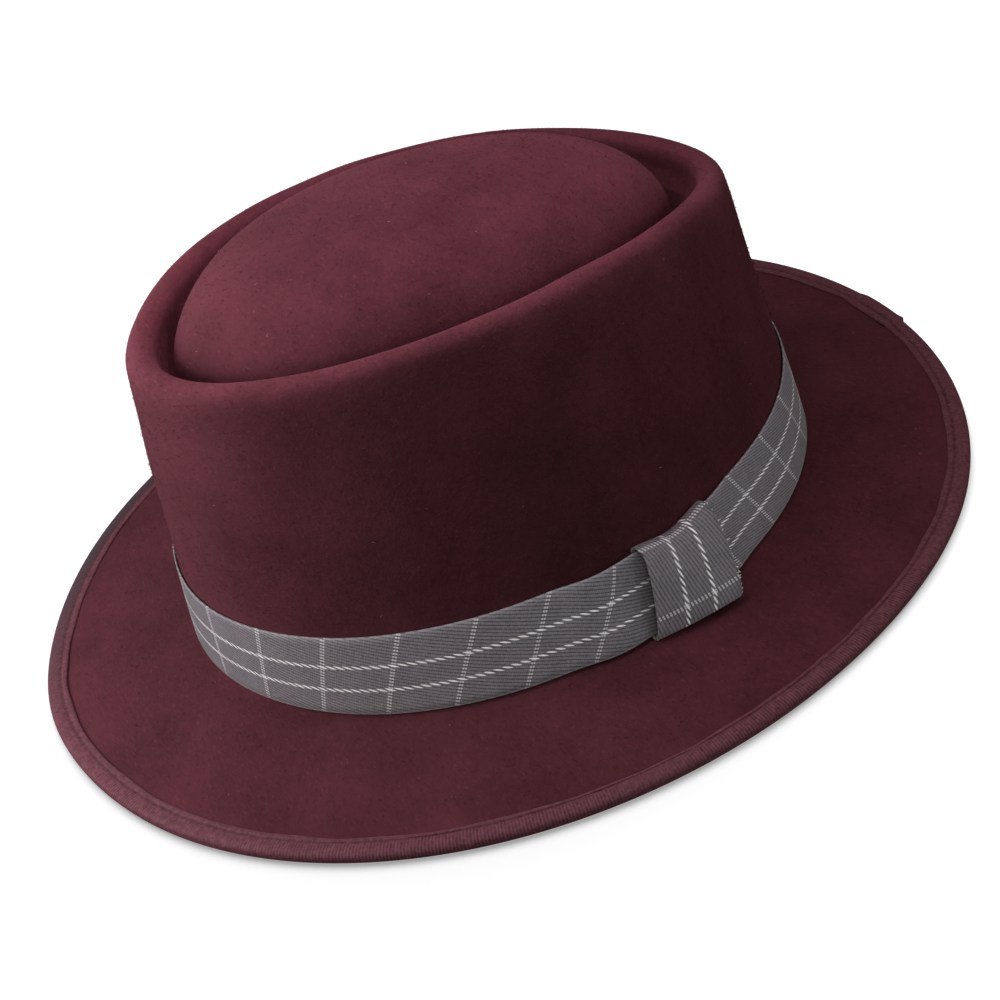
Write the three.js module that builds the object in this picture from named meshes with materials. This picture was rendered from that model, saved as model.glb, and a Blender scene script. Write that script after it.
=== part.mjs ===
// A porkpie hat of blocked wool felt, lying on its brim as it would on a table.
// Millimetres, +Z up, the front of the hat towards -Y and the wearer's left towards +X.
// The origin is under the middle of the brim, on the surface that the hat rests on.

import * as THREE from 'three';

// Felt body: the oval at the crown's foot, outside of the felt
const footLength = 206;
const footWidth = 174;
const feltWall = 2;

// The crest is the rim round the top of the crown. Its oval is a little broader in front.
const crestLength = 190.9;
const crestWidth = 131.3;
const crestShift = 0.4;
const crestTaper = 0.029;
const crownHeight = 92.5;
const crestRadius = 4.4;
// The crest slopes down from front to back, most of all at its ends, and stands higher at
// the sides than at the ends
const crestFrontRise = 6.1;
const crestEndRise = 1.7;
const crestSideRise = 3.9;

// Inside the crest the felt is creased down, and the domed tip rises out of the crease
const creaseDepth = 11.8;
const tipLength = 161;
const tipWidth = 102.4;
const tipShift = -2.5;
const tipTaper = 0.05;
const tipRise = 18.2;
const tipFrontRise = 4;

// Brim, from the crown's foot to the cut edge of the felt. It is wider at its ends than at
// its sides, and wider behind than in front.
const brimWidth = 44.8;
const brimEndExtra = 2;
const brimBackExtra = 1.6;
const brimDrop = 1.9;
const breakRadius = 1.4;

// Grosgrain binding folded over the brim's edge, its cut end lapped over its beginning
const bindingWidth = 5.8;
const bindingThickness = 0.7;
const lapAngle = 80;
const lapLength = 24;

// Ribbon round the crown, and the loop of the same ribbon that it passes through. The loop's
// lower end is pulled a little towards the front.
const ribbonWidth = 24.5;
const ribbonThickness = 0.8;
const loopAngle = 1.5;
const loopStandFront = 4;
const loopStandBack = 6.5;
const loopSkew = 3;

// Air left between two pieces that touch on the real hat
const clearance = 0.3;

// Flat strip under the binding that the hat rests on
const soleWidth = 1.5;

// Sides of the polygons that stand for the ovals
const sectors = 72;

const footOval = { length: footLength, width: footWidth, taper: 0, shift: 0 };
const crestOval = { length: crestLength, width: crestWidth, taper: crestTaper, shift: crestShift };
const tipOval = { length: tipLength, width: tipWidth, taper: tipTaper, shift: tipShift };

const footHeight = brimDrop + feltWall + clearance + bindingThickness;
const ribbonFoot = breakRadius;
const radians = THREE.MathUtils.degToRad;
const mix = THREE.MathUtils.lerp;

// A point of an oval, at an angle from the wearer's left towards the back, moved square
// out of the oval by outset.
function ovalPoint({ length, width, taper, shift }, angle, outset) {
  const [halfLength, halfWidth] = [length / 2, width / 2];
  const [c, s] = [Math.cos(angle), Math.sin(angle)];
  const alongX = -halfWidth * s * (1 - taper * s) - halfWidth * taper * c * c;
  const alongY = halfLength * c;
  const speed = Math.hypot(alongX, alongY);
  return new THREE.Vector2(
    halfWidth * c * (1 - taper * s) + (outset * alongY) / speed,
    halfLength * s + shift - (outset * alongX) / speed,
  );
}

// How far the crest stands above or below its mean height.
function crestTilt(angle) {
  const back = Math.sin(angle);
  return crestSideRise * Math.cos(2 * angle) - crestFrontRise * back - crestEndRise * back ** 3;
}

// A point of the crown's wall, rise above its foot, moved out by outset.
function wallPoint(angle, rise, outset) {
  const share = rise / (crownHeight - crestRadius + crestTilt(angle));
  const flat = ovalPoint(footOval, angle, outset).lerp(ovalPoint(crestOval, angle, outset), share);
  return new THREE.Vector3(flat.x, flat.y, footHeight + rise);
}

// A point at outset from the crown's foot, at height rise above the foot.
function footPoint(angle, outset, rise) {
  const flat = ovalPoint(footOval, angle, outset);
  return new THREE.Vector3(flat.x, flat.y, footHeight + rise);
}

// A point of the crest's round rim, turned from facing out, over the top, to facing in.
function crestPoint(angle, turn) {
  const flat = ovalPoint(crestOval, angle, -crestRadius * (1 - Math.cos(turn)));
  const drop = crestRadius * (1 - Math.sin(turn));
  return new THREE.Vector3(flat.x, flat.y, footHeight + crownHeight + crestTilt(angle) - drop);
}

// Width of the felt brim at an angle.
function brimReach(angle) {
  return brimWidth + brimBackExtra * Math.sin(angle) - brimEndExtra * Math.cos(2 * angle);
}

// Brim profile: how far out of the crown, and how far down, as shares of its width and drop
const brimRows = [
  { out: 1, down: 1 },
  { out: 1 - bindingWidth / brimWidth, down: 0.85 },
  { out: 0.62, down: 0.6 },
  { out: 0.4, down: 0.33 },
  { out: 0.2, down: 0.1 },
];
// Crown wall: shares of the height between the ribbon's top and the crest
const wallShares = [0.33, 0.67];
// Crease, from the crest's inner side to its floor: shares of the way across and down
const creaseRows = [
  { across: 0.3, down: 0.5 },
  { across: 0.7, down: 0.9 },
];
const crestSteps = 6;
const crestArc = radians(150);
const breakSteps = 2;
// Tip: a rounded mound, one row for each turn of its profile from the crease to the middle
const tipRows = [0, 10, 21, 33, 46, 60, 75].map(radians);
const tipSquareness = 2.53;

// Lean of the crown's wall at an angle, from upright.
function wallLean(angle) {
  const foot = ovalPoint(footOval, angle, 0);
  const crest = ovalPoint(crestOval, angle, 0);
  const out = ovalPoint(footOval, angle, 1).sub(foot);
  return Math.atan2(foot.sub(crest).dot(out), crownHeight - crestRadius);
}

// A point of the tip. Its profile turns from upright at the crease to level in the middle.
function tipPoint(angle, turn) {
  const reach = Math.cos(turn) ** (2 / tipSquareness);
  const edge = ovalPoint(tipOval, angle, 0);
  const y = (edge.y - tipShift) * reach;
  const floor = crestTilt(angle) - creaseDepth;
  const top = tipRise - (tipFrontRise * y) / (tipLength / 2);
  const rise = footHeight + crownHeight + mix(floor, top, Math.sin(turn));
  return new THREE.Vector3(edge.x * reach, tipShift + y, rise);
}

// A point of the crease, between the crest's inner side and the edge of the tip.
function creasePoint(angle, { across, down }) {
  const crestSide = crestPoint(angle, crestArc);
  const floor = tipPoint(angle, 0);
  return new THREE.Vector3(
    mix(crestSide.x, floor.x, across),
    mix(crestSide.y, floor.y, across),
    mix(crestSide.z, floor.z, down),
  );
}

// Height above the crown's foot of a share of the ribbon's width, laid on the leaning wall.
function ribbonRise(angle, share) {
  return ribbonFoot + share * ribbonWidth * Math.cos(wallLean(angle));
}

// The outside of the felt at one angle, from the brim's edge to the last row of the tip.
function feltProfile(angle) {
  const points = brimRows.map(({ out, down }) => footPoint(angle, out * brimReach(angle), -down * brimDrop));
  for (let step = 0; step <= breakSteps; step += 1) {
    const turn = (step / (breakSteps + 1)) * (Math.PI / 2);
    points.push(wallPoint(angle, breakRadius * (1 - Math.cos(turn)), breakRadius * (1 - Math.sin(turn))));
  }
  const ribbonTop = ribbonRise(angle, 1);
  const wallTop = crownHeight - crestRadius + crestTilt(angle);
  points.push(wallPoint(angle, ribbonFoot, 0), wallPoint(angle, ribbonTop, 0));
  wallShares.forEach((share) => points.push(wallPoint(angle, mix(ribbonTop, wallTop, share), 0)));
  const lean = wallLean(angle);
  for (let step = 0; step <= crestSteps; step += 1) {
    const turn = mix(lean, crestArc, step / crestSteps);
    points.push(crestPoint(angle, turn));
  }
  creaseRows.forEach((row) => points.push(creasePoint(angle, row)));
  tipRows.forEach((turn) => points.push(tipPoint(angle, turn)));
  return points;
}

function meshFrom(name, positions, triangles, finish) {
  const geometry = new THREE.BufferGeometry();
  geometry.setAttribute('position', new THREE.Float32BufferAttribute(positions.flatMap((p) => [p.x, p.y, p.z]), 3));
  geometry.setIndex(triangles);
  geometry.computeVertexNormals();
  const mesh = new THREE.Mesh(geometry, new THREE.MeshStandardMaterial(finish));
  mesh.name = name;
  return mesh;
}

// Two triangles for each four-sided gap between two neighbouring rows of points.
function quads(near, far, closed) {
  const triangles = [];
  const count = closed ? near.length : near.length - 1;
  for (let i = 0; i < count; i += 1) {
    const next = (i + 1) % near.length;
    triangles.push(near[i], near[next], far[next], near[i], far[next], far[i]);
  }
  return triangles;
}

// Felt shell: the profile at every angle, and the same surface again one wall inside it.
function feltBody() {
  const profiles = Array.from({ length: sectors }, (_, i) => feltProfile((2 * Math.PI * i) / sectors));
  const rows = profiles[0].length;
  const apex = new THREE.Vector3(0, tipShift, footHeight + crownHeight + tipRise);
  const outside = [];
  const inside = [];
  for (let row = 0; row < rows; row += 1) {
    for (let i = 0; i < sectors; i += 1) {
      const before = profiles[(i + sectors - 1) % sectors][row];
      const after = profiles[(i + 1) % sectors][row];
      const outer = profiles[i][Math.max(row - 1, 0)];
      const inner = row + 1 < rows ? profiles[i][row + 1] : apex;
      const normal = after.clone().sub(before).cross(inner.clone().sub(outer)).normalize();
      outside.push(profiles[i][row]);
      inside.push(profiles[i][row].clone().addScaledVector(normal, -feltWall));
    }
  }
  const under = new THREE.Vector3(apex.x, apex.y, apex.z - feltWall);
  const positions = [...outside, ...inside, apex, under];
  const ring = (start, row) => Array.from({ length: sectors }, (_, i) => start + row * sectors + i);
  const insideStart = rows * sectors;
  const apexIndex = 2 * rows * sectors;
  const triangles = [];
  for (let row = 0; row + 1 < rows; row += 1) {
    triangles.push(...quads(ring(0, row), ring(0, row + 1), true));
    triangles.push(...quads(ring(insideStart, row + 1), ring(insideStart, row), true));
  }
  triangles.push(...quads(ring(insideStart, 0), ring(0, 0), true));
  for (let i = 0; i < sectors; i += 1) {
    const [a, b] = [(rows - 1) * sectors + i, (rows - 1) * sectors + ((i + 1) % sectors)];
    triangles.push(a, b, apexIndex, insideStart + b, insideStart + a, apexIndex + 1);
  }
  return meshFrom('felt_body', positions, triangles, { color: 0x5a2631, roughness: 0.95, metalness: 0 });
}

// A body swept round a closed path: each section is a closed ring of points, seen
// counter-clockwise when looking along the path.
function sweptRing(name, sections, finish) {
  const size = sections[0].length;
  const ring = (i) => Array.from({ length: size }, (_, j) => (i % sections.length) * size + j);
  const triangles = sections.flatMap((_, i) => quads(ring(i), ring(i + 1), true));
  return meshFrom(name, sections.flat(), triangles, finish);
}

const burgundyRib = { color: 0x5e2f3b, roughness: 0.7, metalness: 0 };
const greyCheck = { color: 0x55545a, roughness: 0.8, metalness: 0 };

// Binding: a strip round the edge of the brim, from its top face over the edge to its
// underside, with a flat sole that the hat rests on. Its lap is a second layer on top.
function brimBinding() {
  const edge = brimRows[0];
  const leg = brimRows[1];
  const slope = Math.atan2((edge.down - leg.down) * brimDrop, (edge.out - leg.out) * brimWidth);
  const half = feltWall / 2 + clearance;
  // Along is measured down the brim from the felt's cut edge, up square to it from mid-felt
  const section = (layers) => {
    const top = half + bindingThickness * layers;
    const bottom = half + bindingThickness;
    const bend = clearance + bindingThickness * layers;
    return [
      { along: -bindingWidth, up: half },
      { along: -bindingWidth, up: top },
      { along: 0, up: top },
      { along: bend * 0.8, up: top * 0.6 },
      { along: bend, up: 0 },
      { along: bend * 0.8, up: -bottom * 0.6 },
      { along: 0, up: -bottom, sole: true },
      { along: -soleWidth, up: -bottom, sole: true },
      { along: -bindingWidth, up: -bottom },
      { along: -bindingWidth, up: -half },
      { along: 0, up: -half },
      { along: clearance, up: -half * 0.6 },
      { along: clearance, up: half * 0.6 },
      { along: 0, up: half },
    ];
  };
  const midHeight = -edge.down * brimDrop - (feltWall / 2) * Math.cos(slope);
  const place = (angle, { along, up, sole }) => {
    const outset = brimReach(angle) + along * Math.cos(slope) + (up - feltWall / 2) * Math.sin(slope);
    const rise = midHeight - along * Math.sin(slope) + up * Math.cos(slope);
    return footPoint(angle, outset, sole ? -footHeight : rise);
  };
  const lapMiddle = footPoint(radians(lapAngle), brimWidth, 0);
  const edgeSpeed = lapMiddle.distanceTo(footPoint(radians(lapAngle + 1), brimWidth, 0));
  const lapStart = lapAngle - lapLength / edgeSpeed / 2;
  const lapEnd = lapAngle + lapLength / edgeSpeed / 2;
  const step = 360 / sectors;
  const turns = Array.from({ length: sectors }, (_, i) => ({ turn: i * step, layers: 1 }));
  turns.forEach((row) => {
    if (row.turn > lapStart && row.turn < lapEnd) row.layers = 2;
  });
  turns.push({ turn: lapStart - 0.1, layers: 1 }, { turn: lapStart, layers: 2 });
  turns.push({ turn: lapEnd, layers: 2 }, { turn: lapEnd + 0.1, layers: 1 });
  turns.sort((a, b) => a.turn - b.turn);
  const sections = turns.map(({ turn, layers }) => section(layers).map((row) => place(radians(turn), row)));
  return sweptRing('brim_binding', sections, burgundyRib);
}

// The loop's half width and its skew as angles at the crown's foot
const footSpeed = footPoint(radians(loopAngle), 0, 0).distanceTo(footPoint(radians(loopAngle + 1), 0, 0));
const loopHalfAngle = ribbonWidth / footSpeed / 2;
const loopSkewAngle = loopSkew / footSpeed;

// The ribbon stands further off the felt where the loop's back passes behind it.
function ribbonOffset(angle) {
  const away = Math.abs(THREE.MathUtils.euclideanModulo(THREE.MathUtils.radToDeg(angle) - loopAngle + 180, 360) - 180);
  const reach = loopHalfAngle + loopSkewAngle;
  const ease = THREE.MathUtils.smoothstep(away, reach, reach + loopHalfAngle);
  return clearance + (1 - ease) * (ribbonThickness + clearance);
}

function hatBand() {
  const sections = Array.from({ length: sectors }, (_, i) => {
    const angle = (2 * Math.PI * i) / sectors;
    const inner = ribbonOffset(angle);
    const outer = inner + ribbonThickness;
    return [
      wallPoint(angle, ribbonFoot, inner),
      wallPoint(angle, ribbonFoot, outer),
      wallPoint(angle, ribbonRise(angle, 1), outer),
      wallPoint(angle, ribbonRise(angle, 1), inner),
    ].reverse();
  });
  return sweptRing('hat_band', sections, greyCheck);
}

// Loop: a strip of ribbon round the band, close behind it and bowed out in front of it.
// Rows follow the middle of the strip: up as a share of the ribbon's width from its foot,
// outFront and outBack as shares of how far each edge of the loop stands off the band.
const loopRows = [
  { up: -0.01, behind: true },
  { up: 0.5, behind: true },
  { up: 1.02, behind: true },
  { up: 1.07, outFront: 0.1, outBack: 0.1 },
  { up: 1.02, outFront: 0.42, outBack: 0.42 },
  { up: 0.8, outFront: 0.85, outBack: 0.8 },
  { up: 0.5, outFront: 1, outBack: 1.05 },
  { up: 0.22, outFront: 0.8, outBack: 1.2 },
  { up: 0.02, outFront: 0.42, outBack: 1 },
  { up: -0.03, outFront: 0.15, outBack: 0.5 },
];
const loopSteps = 5;

function bandLoop() {
  const half = ribbonThickness / 2;
  const backOffset = clearance + half;
  const frontOffset = backOffset + 2 * (ribbonThickness + clearance);
  const middle = (acrossShare, { up, behind, outFront, outBack }) => {
    const straight = mix(loopAngle - loopHalfAngle, loopAngle + loopHalfAngle, acrossShare);
    const angle = radians(straight - loopSkewAngle * (1 - up));
    const stand = mix(outFront * loopStandFront, outBack * loopStandBack, acrossShare);
    return { angle, outset: behind ? backOffset : frontOffset + stand, rise: ribbonRise(angle, up) };
  };
  const sections = loopRows.map((row, k) => {
    const rowBefore = loopRows[(k + loopRows.length - 1) % loopRows.length];
    const rowAfter = loopRows[(k + 1) % loopRows.length];
    const edge = (acrossShare, side) => {
      const here = middle(acrossShare, row);
      const [before, after] = [middle(acrossShare, rowBefore), middle(acrossShare, rowAfter)];
      const away = new THREE.Vector2(before.rise - after.rise, after.outset - before.outset).normalize();
      return wallPoint(here.angle, here.rise + side * half * away.y, here.outset + side * half * away.x);
    };
    const across = Array.from({ length: loopSteps + 1 }, (_, i) => i / loopSteps);
    return [...across.map((share) => edge(share, -1)), ...across.reverse().map((share) => edge(share, 1))];
  });
  return sweptRing('band_loop', sections, greyCheck);
}

// The pieces are laid out from the middle of the crown's foot; the origin goes under the
// middle of the brim, which reaches further behind than in front.
const hat = new THREE.Group();
hat.name = 'porkpie_hat';
hat.add(feltBody(), brimBinding(), hatBand(), bandLoop());
hat.position.y = -brimBackExtra;

export default hat;
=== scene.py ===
# %% [markdown]
# # A porkpie hat of blocked wool felt
#
# The hat is a burgundy felt shell with a telescope crown, a grosgrain binding sewn round the
# brim's edge, and a checked ribbon band that passes through a loop of the same ribbon.
#
# Every piece is built here from the same few sizes, in millimetres, as the plain solids of the
# frame, and takes the place of one of them. First the frame is loaded.

# %% Load the frame
import math
from functools import partial

import bmesh
import bpy
import numpy as np
from mathutils import Matrix, Vector


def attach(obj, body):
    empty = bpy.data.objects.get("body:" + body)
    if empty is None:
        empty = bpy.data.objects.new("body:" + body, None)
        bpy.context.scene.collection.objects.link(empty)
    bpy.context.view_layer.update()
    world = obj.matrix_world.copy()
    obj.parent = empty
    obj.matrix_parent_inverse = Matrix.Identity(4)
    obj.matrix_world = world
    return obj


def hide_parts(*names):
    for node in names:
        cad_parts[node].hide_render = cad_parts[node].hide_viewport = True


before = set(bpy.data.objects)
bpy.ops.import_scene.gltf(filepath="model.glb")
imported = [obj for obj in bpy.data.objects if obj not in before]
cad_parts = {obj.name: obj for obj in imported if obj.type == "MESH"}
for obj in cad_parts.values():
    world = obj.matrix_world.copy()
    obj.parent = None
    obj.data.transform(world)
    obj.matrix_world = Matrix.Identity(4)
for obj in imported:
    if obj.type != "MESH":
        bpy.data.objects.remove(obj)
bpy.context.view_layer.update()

MM = 0.001
print("nodes:", sorted(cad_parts))

# %% [markdown]
# ## The sizes of the hat
#
# A hatter blocks felt over a wooden form. Its foot is an oval, its top a smaller oval, and the
# brim is pressed flat on a ring. So each place on the hat is given by an angle round the oval,
# from the wearer's left towards the back, and a distance from the oval, square to it.

# %% Sizes, in millimetres
foot_oval = {"length": 206, "width": 174, "taper": 0, "shift": 0}
crest_oval = {"length": 190.9, "width": 131.3, "taper": 0.029, "shift": 0.4}
tip_oval = {"length": 161, "width": 102.4, "taper": 0.05, "shift": -2.5}
felt_wall = 2
crown_height, crest_radius = 92.5, 4.4
crest_front_rise, crest_end_rise, crest_side_rise = 6.1, 1.7, 3.9
crease_depth, tip_rise, tip_front_rise, tip_squareness = 11.8, 18.2, 4, 2.53
brim_width, brim_end_extra, brim_back_extra, brim_drop = 44.8, 2, 1.6, 1.9
break_radius = 1.4
binding_width, binding_thickness = 5.8, 0.7
ribbon_width, ribbon_thickness = 24.5, 0.8
loop_angle, loop_skew, loop_stand_front, loop_stand_back = 1.5, 3, 4, 6.5
clearance = 0.3

# Where the real hat is out of true: by how much (the crown's tightness as a share, the rest in
# millimetres), at which angle in degrees, and how many degrees it reaches to either side
hand_shaping = {
    "brim_curl": (3, 112, 32),
    "brim_left": (1.4, 36, 20),
    "brim_front": (1.3, -101, 12),
    "tip_right": (-2.7, 192, 48),
    "tip_back": (1.6, 125, 35),
    "crown_tight": (0.025, -121, 22),
    "crown_loose": (-0.011, -156, 18),
    "crown_high": (0.9, 130, 40),
    "tape_narrow": (1.5, -20, 55),
}

foot_height = brim_drop + felt_wall + clearance + binding_thickness
wall_height = crown_height - crest_radius
print("the crown's foot is", round(foot_height, 1), "mm above the table")

# %% Points of the hat
def oval_point(oval, angle, outset=0.0):
    """Points of an oval at some angles, moved square out of it by outset: x and y."""
    half_length, half_width = oval["length"] / 2, oval["width"] / 2
    taper, shift = oval["taper"], oval["shift"]
    c, s = np.cos(angle), np.sin(angle)
    along_x = -half_width * s * (1 - taper * s) - half_width * taper * c * c
    along_y = half_length * c
    speed = np.hypot(along_x, along_y)
    x = half_width * c * (1 - taper * s) + outset * along_y / speed
    y = half_length * s + shift - outset * along_x / speed
    return np.stack([x, y], axis=-1)


def all_round(count):
    """Angles all the way round the hat, evenly spaced."""
    return np.linspace(0, 2 * math.pi, count, endpoint=False)


def unit(vectors):
    """The same directions, each 1 long."""
    return vectors / np.linalg.norm(vectors, axis=-1, keepdims=True)


def direction(turn, height):
    """A direction turned from the wearer's left towards the back, then raised, in degrees."""
    turn, height = math.radians(turn), math.radians(height)
    level = math.cos(height)
    return Vector((math.cos(turn) * level, math.sin(turn) * level, math.sin(height)))


def with_height(flat, height):
    """Adds heights to points that have x and y."""
    return np.concatenate([flat, np.broadcast_to(height, flat.shape[:-1])[..., None]], axis=-1)


def crest_tilt(angle):
    """How far the crest stands above or below its mean height: it falls towards the back."""
    back = np.sin(angle)
    return crest_side_rise * np.cos(2 * angle) - crest_front_rise * back - crest_end_rise * back**3


def wall_point(angle, rise, outset=0.0):
    """A point of the crown's wall, rise above its foot."""
    share = np.asarray(rise / (wall_height + crest_tilt(angle)))[..., None]
    low, high = (oval_point(oval, angle, outset) for oval in (foot_oval, crest_oval))
    return with_height(low * (1 - share) + high * share, foot_height + rise)


def rising(value, start, width):
    """0 up to the start, then rising evenly to 1 over the width; a width below 0 falls instead."""
    return np.clip((value - start) / width, 0, 1)


def eased(share):
    """A share from 0 to 1, made to start and end gently."""
    return share * share * (3 - 2 * share)


def swell(angle, centre, reach):
    """1 at one place round the hat, falling smoothly to 0 on both sides of it, in degrees."""
    away = (np.degrees(angle) - centre + 180) % 360 - 180
    return np.exp(-((away / reach) ** 2))


def shaped(name, angle):
    """What one of the places that are out of true adds at an angle."""
    amount, centre, reach = hand_shaping[name]
    return amount * swell(angle, centre, reach)


def foot_point(angle, outset, rise):
    """A point on or above the brim: behind, on the wearer's right, the brim curls up a little."""
    curl = (np.maximum(outset, 0) / brim_width) ** 2 * shaped("brim_curl", angle)
    return with_height(oval_point(foot_oval, angle, outset), foot_height + rise + curl)


def crest_point(angle, turn):
    """A point of the crest's round rim, turned from facing out, over the top, to facing in."""
    flat = oval_point(crest_oval, angle, -crest_radius * (1 - np.cos(turn)))
    height = foot_height + crown_height + crest_tilt(angle) - crest_radius * (1 - np.sin(turn))
    return with_height(flat, height)


def tip_point(angle, turn):
    """A point of the domed tip: upright at the crease, level in the middle."""
    reach = np.cos(turn) ** (2 / tip_squareness)
    edge = oval_point(tip_oval, angle)
    edge = edge + np.stack([shaped("tip_right", angle), shaped("tip_back", angle)], axis=-1)
    y = (edge[..., 1] - tip_oval["shift"]) * reach
    floor = crest_tilt(angle) - crease_depth
    top = tip_rise - tip_front_rise * y / (tip_oval["length"] / 2)
    rise = foot_height + crown_height + floor + (top - floor) * np.sin(turn)
    return np.stack([edge[..., 0] * reach, tip_oval["shift"] + y, rise], axis=-1)


def wall_lean(angle):
    """How far the crown's wall leans in from upright, as an angle."""
    foot, crest = oval_point(foot_oval, angle), oval_point(crest_oval, angle)
    out = oval_point(foot_oval, angle, 1) - foot
    return np.arctan2(((foot - crest) * out).sum(axis=-1), wall_height)


def brim_reach(angle):
    even = brim_width + brim_back_extra * np.sin(angle) - brim_end_extra * np.cos(2 * angle)
    return even + shaped("brim_left", angle) + shaped("brim_front", angle)


def ribbon_rise(angle, share):
    """Height above the crown's foot of a share of the ribbon's width, laid on the wall."""
    return break_radius + share * ribbon_width * np.cos(wall_lean(angle))


for place, angle in (("at the side", 0.0), ("behind", math.pi / 2)):
    print("the brim is", round(float(brim_reach(angle)), 1), "mm wide", place)

# %% [markdown]
# ## Curves and meshes
#
# Each surface is a grid of points. Rows of key points, a few millimetres to centimetres apart,
# are joined by a Catmull-Rom curve, which passes through every key and bends smoothly. Then the
# grid becomes a mesh: neighbouring rows are joined by four-sided faces. Building the mesh from
# points, rather than by pushing a ready-made one about, keeps every size exact.

# %% A smooth curve through rows of points
def smooth_rows(keys, spacing, closed=False):
    """Rows on a smooth curve through the key rows, about one spacing apart (one for each span)."""
    keys = np.asarray(keys, dtype=float)
    count = len(keys)
    spans = count if closed else count - 1
    if closed:
        points = np.concatenate([keys[-1:], keys, keys[:2]])
    else:
        points = np.concatenate([2 * keys[:1] - keys[1:2], keys, 2 * keys[-1:] - keys[-2:-1]])
    spacing = np.broadcast_to(spacing, spans)
    rows = []
    for i in range(spans):
        p0, p1, p2, p3 = points[i : i + 4]
        knots = [np.zeros(p0.shape[:-1])]
        for near, far in ((p0, p1), (p1, p2), (p2, p3)):
            knots.append(knots[-1] + np.maximum(np.linalg.norm(far - near, axis=-1), 1e-6) ** 0.5)
        t0, t1, t2, t3 = (k[..., None] for k in knots)
        length = np.linalg.norm(p2 - p1, axis=-1).mean()
        steps = max(1, round(length / spacing[i]))
        for step in range(steps):
            t = t1 + (t2 - t1) * step / steps
            a = p0 * (t1 - t) / (t1 - t0) + p1 * (t - t0) / (t1 - t0)
            b = p1 * (t2 - t) / (t2 - t1) + p2 * (t - t1) / (t2 - t1)
            c = p2 * (t3 - t) / (t3 - t2) + p3 * (t - t2) / (t3 - t2)
            d = a * (t2 - t) / (t2 - t0) + b * (t - t0) / (t2 - t0)
            e = b * (t3 - t) / (t3 - t1) + c * (t - t1) / (t3 - t1)
            rows.append(d * (t2 - t) / (t2 - t1) + e * (t - t1) / (t2 - t1))
    if not closed:
        rows.append(keys[-1])
    return np.stack(rows)


def grid_normals(points):
    """Unit normals of a grid that is open along its rows and closed across them."""
    across = np.roll(points, -1, axis=1) - np.roll(points, 1, axis=1)
    along = np.gradient(points, axis=0)
    normal = np.cross(across, along)
    return normal / np.maximum(np.linalg.norm(normal, axis=-1, keepdims=True), 1e-9)


# %% From a grid of points to a mesh
def in_frame(points):
    """Points from millimetres to the frame's metres. Its origin is under the middle of the brim,
    which reaches further behind than in front, so all points move forward by that much."""
    return ((points.reshape(-1, 3) - [0, brim_back_extra, 0]) * MM).tolist()


def grid_object(name, points, close_rows=False, weave=None, painted_tones=None):
    """A mesh object from a grid of points in millimetres, closed across its rows. The weave is
    a second grid: each point's place along and across the cloth, in metres. The painted tones
    say how much paler or darker the cloth is painted at each point, as painted light and shade."""
    rows, columns = points.shape[:2]
    last = rows if close_rows else rows - 1
    faces, places = [], []
    for i in range(last):
        for j in range(columns):
            corners = [(i, j), (i, j + 1), (i + 1, j + 1), (i + 1, j)]
            faces.append([(a % rows) * columns + b % columns for a, b in corners])
            if weave is not None:
                places.extend(weave[a, b] for a, b in corners)
    mesh = bpy.data.meshes.new(name)
    mesh.from_pydata(in_frame(points), [], faces)
    if weave is not None:
        mesh.uv_layers.new(name="weave").data.foreach_set("uv", np.asarray(places, dtype=float).ravel())
    if painted_tones is not None:
        mesh.attributes.new("painted_light_tone", "FLOAT", "POINT").data.foreach_set("value", painted_tones.ravel())
    shape = bmesh.new()
    shape.from_mesh(mesh)
    bmesh.ops.remove_doubles(shape, verts=shape.verts, dist=1e-6)
    bmesh.ops.recalc_face_normals(shape, faces=shape.faces)
    shape.to_mesh(mesh)
    shape.free()
    mesh.shade_smooth()
    made = bpy.data.objects.new(name, mesh)
    bpy.context.collection.objects.link(made)
    print(name, "has", len(mesh.polygons), "faces")
    return made


# %% [markdown]
# ## Colours and nodes
#
# Colours are written as the hex values that a picture editor shows, and turned into the linear
# values that Blender mixes light with. A material is a small network of nodes. One function
# adds a node together with its settings and links, and the kinds that are used most have short
# names. Three more join a few nodes that cloth needs again and again.

# %% Helpers for materials
MATH, VECTOR_MATH, RANGE = "ShaderNodeMath", "ShaderNodeVectorMath", "ShaderNodeMapRange"
NOISE, RAMP, BUMP, MIX = "ShaderNodeTexNoise", "ShaderNodeValToRGB", "ShaderNodeBump", "ShaderNodeMix"
SHADER, OUTPUT = "ShaderNodeBsdfPrincipled", "ShaderNodeOutputMaterial"
# The sockets of a mix node that carry colours
COLOUR_A, COLOUR_B, COLOUR_OUT = 6, 7, 2


def colour(hex_value):
    """A linear RGBA colour from an sRGB hex string."""
    channels = [int(hex_value[i : i + 2], 16) / 255 for i in (1, 3, 5)]
    return [c / 12.92 if c <= 0.04045 else ((c + 0.055) / 1.055) ** 2.4 for c in channels] + [1.0]


def node_in(tree, kind, inputs=None, operation=None, **settings):
    """Adds a node. Each input gets a value, or a link from a socket or a node's first output."""
    made = tree.nodes.new(kind)
    if operation:
        made.operation = operation
    for name, value in settings.items():
        setattr(made, name, value)
    for name, value in (inputs or {}).items():
        source = value.outputs[0] if isinstance(value, bpy.types.Node) else value
        if isinstance(source, bpy.types.NodeSocket):
            tree.links.new(source, made.inputs[name])
        else:
            made.inputs[name].default_value = source
    return made


def new_material(name):
    """An empty material, and the function that adds a node to it."""
    made = bpy.data.materials.new(name)
    made.use_nodes = True
    made.node_tree.nodes.clear()
    return made, partial(node_in, made.node_tree)


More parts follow.
